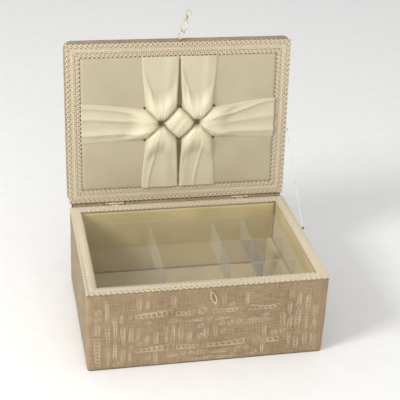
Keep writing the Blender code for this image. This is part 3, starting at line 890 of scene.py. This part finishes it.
def gable_cast(side):
    """Rays at an end of the lid, u along it from its left end as seen from outside, v up it."""
    def cast(u, v):
        origin = Vector((side * RAY_START_END, u - 100 if side > 0 else 98 - u, COVER_Z + 1.5 + v))
        return LID @ origin, LID.to_3x3() @ Vector((-side, 0, 0))
    return cast


def make_print(box_cover, lid_cover):
    height = COVER_TOP - COVER_LOW - 6
    walls = [(2 * (PRINT_HALF_X if out_y else PRINT_HALF_Y), height, wall_cast(out_x, out_y))
             for out_x, out_y in ((0, -1), (0, 1), (-1, 0), (1, 0))]
    print_lines("box_print", box_cover, walls, BOX_PRINT_SEED, "box")
    cast, length = arch_cast()
    tops = [(2 * ARCH_PRINT_HALF, length - 4, cast)]
    tops += [(*GABLE_PRINT, gable_cast(side)) for side in (-1, 1)]
    print_lines("lid_print", lid_cover, tops, LID_PRINT_SEED, "lid")


# ---- braid

def border_spot(shape, side, along, out, rise):
    """A point on a mitred border and the direction off it; along runs from -1 to 1."""
    edge, curl = shape["half"] - 1.0, 1.1
    turn = min(max(0.0, (out - edge) / curl), pi / 2)
    drop = curl * (1 - cos(turn)) + max(0.0, out - edge - curl * pi / 2)
    reach = min(out, edge) + curl * sin(turn)
    reach += rise * sin(turn)
    z = shape["top"] - shape["face"] * (drop - rise * cos(turn))
    half_x, half_y = shape["middle"]
    x_out, y_out = half_x + reach, half_y + reach
    spots = ((along * x_out, -y_out), (x_out, along * y_out),
             (-along * x_out, y_out), (-x_out, -along * y_out))
    aways = ((0, -1), (1, 0), (0, 1), (-1, 0))
    away_x, away_y = aways[side]
    up = Vector((away_x * sin(turn), away_y * sin(turn), shape["face"] * cos(turn)))
    return Vector((*spots[side], z)), up


def make_braid(name, node, shape, body, place):
    """Gimp braid: looped strands over a woven ground, mitred at the corners. The ground is its own weave
    and also painted shade: its dark colour stands for the shade between and below the loops.
    """
    half, lap = shape["half"], shape["lap"]
    weave = 0.42 * half - 0.6
    strands = (
        (half - 1.6, 3.1, 0.0, 1, 0.85), (half - 4.0, 2.3, pi, 1, 0.75),
        (-(half + lap - 3.2), 2.5, pi, 1, 0.8), (-(half + lap - 4.6), 2.0, 0.0, 1, 0.7),
        (0.0, weave, 0.0, 1, 0.75), (0.0, weave, pi, 1, 0.75),
        (0.0, 0.7, 0.0, 2, 0.6), (0.0, 0.7, pi, 2, 0.6),
    )
    braid = Cloth()
    for middle, swing, phase, waves, radius in strands:
        for side in range(4):
            length = 2 * shape["middle"][side % 2]
            periods = round(length / BRAID_PITCH) * waves
            count = periods * 8
            route, ups = [], []
            for i in range(count + 1):
                angle = 2 * pi * i / 8 + phase
                out = middle + swing * cos(angle)
                rise = -0.80 - radius * 0.2 + 0.25 * sin(angle)
                spot, up = border_spot(shape, side, -1 + 2 * i / count, out, rise)
                route.append(spot)
                ups.append(up)
            braid.tube(route, radius, ups, sides=5)
    braid.piece(name, "braid", body, "cream_braid", place)
    # The dark ground, which also gives painted shade between and below the loops
    ground = Cloth()
    depth = abs(shape["top"] - shape["z"])
    for side in range(4):
        def face(u, v, side=side):
            out = -half + 0.4 + (2 * half - 0.6) * v
            spot, _ = border_spot(shape, side, -1 + 2 * u, out, -1.15 - 0.3 * abs(2 * v - 1) ** 3)
            return spot, (u * 2 * shape["middle"][side % 2], v * 2 * half)

        def back(u, v, side=side):
            out = -half + 0.4 + (2 * half - 1.4) * v
            spot, _ = border_spot({**shape, "half": half + 9}, side, -1 + 2 * u, out, -depth)
            return spot
        ground.panel(face, back, (24, 10))
    under = ground.piece(name + "_ground", "braid_ground_and_shade", body, "cream_braid", place)
    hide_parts(node)


# ---- satin linings

def panel_piece(name, face, back, steps, *finish):
    """One panel as a piece; finish is its look, body, slot and place. The slot is not used."""
    panel = Cloth()
    panel.panel(face, back, steps)
    return panel.piece(name, *finish)


def lining_swell(u, v, wide, high, seed):
    """Satin glued over card: soft puckers that die out at the edges, and a few creases."""
    x, y = u * wide, v * high
    edge = min(x, wide - x, y, high - y)
    soft = min(1.0, edge / 7.0)
    crease = wander(x + 0.6 * y, y - 0.4 * x, 26.0, seed + 4.0)
    sharp = (1 - abs(crease)) ** 8
    return soft * (0.35 + 0.45 * wander(x, y, 34.0, seed) + 0.35 * sharp * wander(x, y, 60.0, seed + 8))


def make_lining(node, fixed, side, spare, seed):
    """Satin panel in a node's place; fixed is its thin axis and side the way it faces."""
    low, high = (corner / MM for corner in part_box(node))
    u_axis, v_axis = [axis for axis in range(3) if axis != fixed]
    wide, tall = high[u_axis] - low[u_axis], high[v_axis] - low[v_axis]

    def spot(u, v, height):
        point = [0.0, 0.0, 0.0]
        point[u_axis] = low[u_axis] + u * wide
        point[v_axis] = low[v_axis] + v * tall
        point[fixed] = (high if side > 0 else low)[fixed] + side * height
        return point

    def face(u, v):
        swell = min(spare, lining_swell(u, v, wide, tall, seed))
        return spot(u, v, swell - 0.1), (u * wide, v * tall)

    def back(u, v):
        return spot(u, v, low[fixed] - high[fixed])
    steps = (max(4, round(wide / 4)), max(3, round(tall / 4)))
    piece = panel_piece(node + "_satin", face, back, steps, "lining", "box", "lining_satin")
    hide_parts(node)
    return piece, (wide * MM, tall * MM)


def make_linings():
    panels = (("lining_bottom", 2, 1, "bottom_board"), ("lining_front", 1, 1, "front_board"),
              ("lining_back", 1, -1, "back_board"), ("lining_left", 0, 1, "left_board"),
              ("lining_right", 0, -1, "right_board"))
    for seed, (node, fixed, side, support) in enumerate(panels):
        piece, flat = make_lining(node, fixed, side, 0.8, 3.7 * seed)
    for seed, (node, side) in enumerate((("tray_ledge_left", 1), ("tray_ledge_right", -1))):
        make_lining(node, 0, side, 0.3, 31.0 + seed)


def make_lid_lining():
    half_x, half_y = LID_LINING_HALF_X, LID_LINING_HALF_Y

    def face(u, v):
        x, y = (2 * u - 1) * half_x, (2 * v - 1) * half_y
        swell = lining_swell(u, v, 2 * half_x, 2 * half_y, 50.0)
        return (x, y, LID_LINING_FACE - 0.9 * swell), (x, y)

    def back(u, v):
        return (2 * u - 1) * half_x, (2 * v - 1) * half_y, LID_LINING_BACK
    piece = panel_piece("lid_lining_satin", face, back, (66, 46), "lid_satin", "lid", "lining_satin", LID)
    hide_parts("lid_lining")


# ---- gathered satin

def smooth_step(value, low, high):
    t = min(1.0, max(0.0, (value - low) / (high - low)))
    return t * t * (3 - 2 * t)


def pinched(across, reach):
    """Where a ribbon starts: along the creases, and clear of the hole between them."""
    off = abs(across) * reach
    return hypot(off, 1.2) - 1.2 + CREASE + (HOLE_R - CREASE) * exp(-(off / 3.4) ** 2)


def gathered_height(across, beyond, sideways, forward, folds, far):
    """How far gathered satin stands off the lid; sideways and forward are from the pinched hole.

    across runs from -1 to 1 over the ribbon, beyond is the distance from its pinched end and far
    runs from 0 there to 1 at the braid. A fold is its place across near the hole, its place at
    the braid, its height and its width.
    """
    edge = (1 - min(1.0, abs(across)) ** 10) ** 0.5
    rise = 1 - (1 - min(1.0, max(0.0, beyond) / 10.0)) ** 3
    fall = 1 - smooth_step(beyond, 12.0, 34.0)
    bulge = PUFF * rise * fall * (1 - abs(across) ** 2.4) ** 0.7
    angle, reach = atan2(sideways, forward), hypot(sideways, forward)
    pinch = 0.7 * sin(25.0 * angle + 1.3) * exp(-((reach - 8) / 8.0) ** 2)
    near = max(-1.0, min(1.0, sideways / max(forward, 0.5)))
    spread = smooth_step(reach, 12.0, 50.0)
    place = near + (across - near) * spread
    ridges = 0.0
    for start, end, height, width in folds:
        ridges += height * exp(-((place - start - (end - start) * far) / width) ** 2)
    ridges *= smooth_step(reach, 7.0, 26.0) * (1 - 0.6 * fall * rise)
    slack = 0.5 * wander(sideways, forward, 17.0, 5.0 * folds[0][0]) * smooth_step(reach, 20.0, 40.0)
    return edge * (RIBBON * (0.25 + 0.75 * rise) + bulge + pinch * rise + ridges + slack)


def gathered_piece(name, face, steps):
    """Bunched satin with a flat back, marked where it stands high so that its material paints a highlight
    there.
    """
    def back(u, v):
        (x, y, _), _ = face(u, v)
        return x, y, SATIN_Z
    panel = Cloth()
    panel.panel(face, back, steps)
    piece = panel.piece(name, "band", "lid", "band_satin", LID)
    # Painted highlight mask: 0 where the satin lies low, 1 where a puff stands 8.5 mm proud
    mark(piece, "puff_highlight", [smooth_step(SATIN_Z - point[2], 1.5, 8.5) for point in panel.points])
    return piece


def make_band(name, side_x, side_y, folds):
    """Half of a front-to-back ribbon, from the smocking out to the braid."""
    def face(u, v):
        across = 2 * u - 1
        start = pinched(across, DIMPLE_Y)
        y = start + (BAND_END_Y - start) * v**1.25
        far = smooth_step(y, 18.0, BAND_END_Y)
        inner = 3.3 - 2.5 * far
        outer = DIMPLE_X - 0.8 + 4.6 * far
        x = inner + (outer - inner) * u
        beyond = (y - start) * 0.85
        height = gathered_height(across, beyond, x - HOLE_X, y, folds, far)
        lifted = 2.4 * smooth_step(-across, 0.72, 0.96) * (1 - far) * smooth_step(beyond, 2.0, 9.0)
        return (side_x * x, side_y * y, SATIN_Z - height - lifted), (x, y)
    return gathered_piece(name, face, (56, 72))


def make_cross_band(name, side, folds):
    """Half of the side-to-side ribbon, from the smocking out to the braid."""
    def face(u, v):
        across = 2 * u - 1
        start = HOLE_X + pinched(across, DIMPLE_X - HOLE_X)
        x = start + (CROSS_END_X - start) * v**1.2
        far = smooth_step(x, 46.0, CROSS_END_X)
        half = DIMPLE_Y + (28.0 - DIMPLE_Y) * far
        y = across * half - 2.5 * far
        beyond = (x - start) * 0.85
        height = gathered_height(across, beyond, y, x - HOLE_X, folds, far)
        return (side * x, y, SATIN_Z - height), (y, x)
    return gathered_piece(name, face, (64, 78))


def make_middle_puff():
    """The puff between the two pinched holes."""
    left, top, bottom = Vector((-HOLE_X, 0)), Vector((0, DIMPLE_Y)), Vector((0, -DIMPLE_Y))

    def face(u, v):
        spot = 1.03 * (left + u * (top - left) + v * (bottom - left))
        squeeze = 1 - HOLE_R / HOLE_X * smooth_step(abs(spot.x), 12.0, HOLE_X)
        spot.x *= squeeze
        pillow = ((1 - abs(2 * u - 1) ** 4) * (1 - abs(2 * v - 1) ** 4)) ** 0.6
        lively = 0.5 * sin(0.5 * spot.x + 1.0) * sin(0.4 * spot.y)
        for hole in (-HOLE_X, HOLE_X):
            reach = hypot(spot.x - hole, spot.y)
            angle = atan2(spot.y, abs(spot.x - hole))
            lively += 0.6 * sin(23.0 * angle) * exp(-((reach - 8) / 7.0) ** 2)
        height = 0.4 + (PUFF + 0.9 + lively) * pillow
        return (spot.x, spot.y, SATIN_Z - height), (spot.x, spot.y)
    return gathered_piece("smocking_middle_puff", face, (40, 40))


def make_shade():
    """Dark satin laid as painted shade, which shows only down the creases and in the slits between the
    ribbons.
    """
    strips = [(-DIMPLE_X, DIMPLE_X, -DIMPLE_Y, DIMPLE_Y)]
    strips += [(-5.0, 5.0, DIMPLE_Y - 1, SLIT_END), (-5.0, 5.0, -SLIT_END, 1 - DIMPLE_Y)]
    shade = Cloth()
    for x0, x1, y0, y1 in strips:
        def face(u, v, x0=x0, x1=x1, y0=y0, y1=y1):
            x, y = x0 + (x1 - x0) * u, y0 + (y1 - y0) * v
            return (x, y, SATIN_Z - 0.45 + 0.12 * wander(x, y, 8.0)), (x, y)

        def back(u, v, x0=x0, x1=x1, y0=y0, y1=y1):
            return x0 + (x1 - x0) * u, y0 + (y1 - y0) * v, SATIN_Z - 0.1
        shade.panel(face, back, (24, 24))
    piece = shade.piece("smocking_shade", "shade", "lid", "band_satin", LID)


def make_stitches():
    """Dark thread at each pinched hole and dimple: real stitching, made dark enough to serve also as
    painted shade down in the holes.
    """
    thread = Cloth()
    spots = [(side * HOLE_X, 0.0, 2.2) for side in (-1, 1)]
    spots += [(x, y, 2.1) for x in (-DIMPLE_X, 0.0, DIMPLE_X) for y in (-DIMPLE_Y, DIMPLE_Y)]
    for x, y, reach in spots:
        for turn in (0.6, 1.7, 2.75):
            route = [Vector((x + reach * t * cos(turn), y + reach * t * sin(turn),
                             SATIN_Z - 1.3 + 0.7 * t * t)) for t in (step / 4 - 1 for step in range(9))]
            thread.tube(route, 0.55)
    thread.piece("smocking_stitches", "thread", "lid", "band_satin", LID)


BAND_FOLDS = {
    ("left", "front"): ((0.45, 1.05, 1.3, 0.09), (-0.35, -0.55, 0.8, 0.25)),
    ("right", "front"): ((-0.40, -1.05, 1.3, 0.09), (0.45, 0.50, 0.8, 0.22)),
    ("left", "back"): ((0.25, 0.70, 1.1, 0.10), (-0.40, -0.30, 0.8, 0.25)),
    ("right", "back"): ((0.35, -0.20, 1.1, 0.10), (-0.55, -0.80, 0.8, 0.18)),
}
CROSS_FOLDS = {
    "left": ((-0.75, -0.82, 1.4, 0.10), (-0.20, -0.30, 2.1, 0.14), (0.50, 0.52, 2.3, 0.14)),
    "right": ((-0.35, -0.92, 2.2, 0.10), (0.10, -0.12, 1.3, 0.16), (0.62, 0.60, 1.9, 0.15)),
}


def make_smocking():
    for side_x, left_right in ((-1, "left"), (1, "right")):
        for side_y, place in ((-1, "front"), (1, "back")):
            name = f"satin_band_{left_right}_{place}"
            band = make_band(name, side_x, side_y, BAND_FOLDS[left_right, place])
            if place == "front":
                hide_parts(f"satin_band_{left_right}")
        cross = make_cross_band(f"satin_cross_{left_right}", side_x, CROSS_FOLDS[left_right])
        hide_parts(f"satin_cross_band_{left_right}", f"rosette_{left_right}")
    puff = make_middle_puff()
    make_shade()
    make_stitches()


# ---- wire closure

def loop_route(half_width, length, top_radius, bottom_radius, steps=8):
    route = []
    corners = (
        (1, -top_radius, top_radius, 90), (1, bottom_radius - length, bottom_radius, 0),
        (-1, bottom_radius - length, bottom_radius, 270), (-1, -top_radius, top_radius, 180),
    )
    for side, centre_z, radius, start in corners:
        for step in range(steps + 1):
            angle = radians(start - 90 * step / steps)
            x = side * (half_width - radius) + radius * cos(angle)
            route.append(Vector((x, 0.0, centre_z + radius * sin(angle))))
    return route


def almond_route(half_width, length, steps=18):
    """A slim closed loop that hangs from its top, pinched at both ends."""
    route = []
    for step in range(2 * steps):
        part = step / steps
        side = 1 if part < 1 else -1
        along = part if part < 1 else 2 - part
        route.append(Vector((side * half_width * sin(pi * along) ** 0.8, 0.0, -length * along)))
    return route


def hasp_route():
    """One bent wire: over the link's bar, down the eye, the twisted neck, round the ring and back."""
    hook = [Vector((step / 6 - 1, -HOOK_R * cos(pi * step / 12), HOOK_R * sin(pi * step / 12)))
            for step in range(13)]

    def eye(side):
        route = []
        for step in range(1, 20):
            part = step / 20
            x = side * (1.0 + (EYE_HALF_WIDTH - 1.0) * sin(pi * part))
            route.append(Vector((x, side * HOOK_R * (1 - part) ** 2, -EYE_LENGTH * part)))
        return route

    def neck(side):
        route = []
        for step in range(25):
            part = step / 24
            turn = 3 * pi * part
            route.append(Vector((side * NECK_R * cos(turn), side * NECK_R * sin(turn),
                                 -EYE_LENGTH - NECK_LENGTH * part)))
        return route
    opening = acos(NECK_R / RING_R)
    centre_z = -EYE_LENGTH - NECK_LENGTH - RING_R * sin(opening)
    ring = []
    for step in range(1, 30):
        angle = pi - opening + (pi + 2 * opening) * step / 30
        ring.append(Vector((RING_R * cos(angle), 0.0, centre_z + RING_R * sin(angle))))
    return hook + eye(1) + neck(1) + ring + neck(-1)[::-1] + eye(-1)[::-1]


def wire_piece(name, node, route, radius, place, body, up=(0, 1, 0.02)):
    wire = Cloth()
    wire.tube(route, radius, ups=[Vector(up)] * len(route), sides=10, cyclic=True)
    piece = wire.piece(name, "wire", body, "cream_wire", place)
    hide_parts(node)


def make_closure():
    link = (LID @ Matrix.Translation(HASP_PIVOT) @ Matrix.Rotation(HASP_LEAN, 4, "Z")
            @ Matrix.Rotation(-pi / 2, 4, "X"))
    hasp = link @ Matrix.Translation((0.0, 0.0, -LINK_LENGTH))
    keeper = Matrix.Translation(KEEPER_PIVOT) @ Matrix.Rotation(-KEEPER_LEAN, 4, "Y")
    ring = [Vector((0.0, EYELET_R * cos(pi * step / 12), EYELET_R * sin(pi * step / 12)))
            for step in range(24)]
    link_route = loop_route(LOOP_HALF_WIDTH, LINK_LENGTH, LINK_BEND_R, LINK_BEND_R)
    keeper_route = almond_route(LOOP_HALF_WIDTH, KEEPER_LENGTH)
    wire_piece("hasp_link_wire", "hasp_link", link_route, WIRE_R, link, "hasp_link")
    wire_piece("hasp_wire", "hasp", hasp_route(), WIRE_R, hasp, "hasp")
    wire_piece("keeper_wire", "keeper", keeper_route, WIRE_R, keeper, "keeper")
    for name, place, body in (("hasp_eyelet", link, "lid"), ("keeper_eyelet", keeper, "box")):
        wire_piece(name + "_wire", name, ring, EYELET_WIRE_R, place, body, (1, 0, 0))


# ---- CAD pieces that stay

def dress_frame():
    boards = [name for name in NODES if name.endswith("_board")]
    dress(boards, "board")
    dress(["base_paper"], "paper")
    dress(["stay_knot_lid"], "cord")
    dress(["stay_knot_box"], "knot")
    tray = [name for name in NODES if name.startswith("tray_") and "ledge" not in name]
    dress(tray, "plastic")
    for name in tray:
        soften(name, 0.45)
    hinges = [name for name in NODES if name.startswith("hinge_")]
    dress(hinges, "brass")
    for name in hinges:
        if "leaf" in name:
            soften(name, 0.18)


def main():
    make_camera()
    make_stay()
    make_stage()
    dress_frame()
    box_cover = make_box_cover()
    lid_cover = make_lid_cover()
    make_print(box_cover, lid_cover)
    make_hinge_cloth()
    make_braid("rim_braid_loops", "rim_braid", RIM_BRAID, "box", None)
    make_braid("lid_braid_loops", "lid_braid", LID_BRAID, "lid", LID)
    make_linings()
    make_lid_lining()
    make_smocking()
    make_closure()


main()
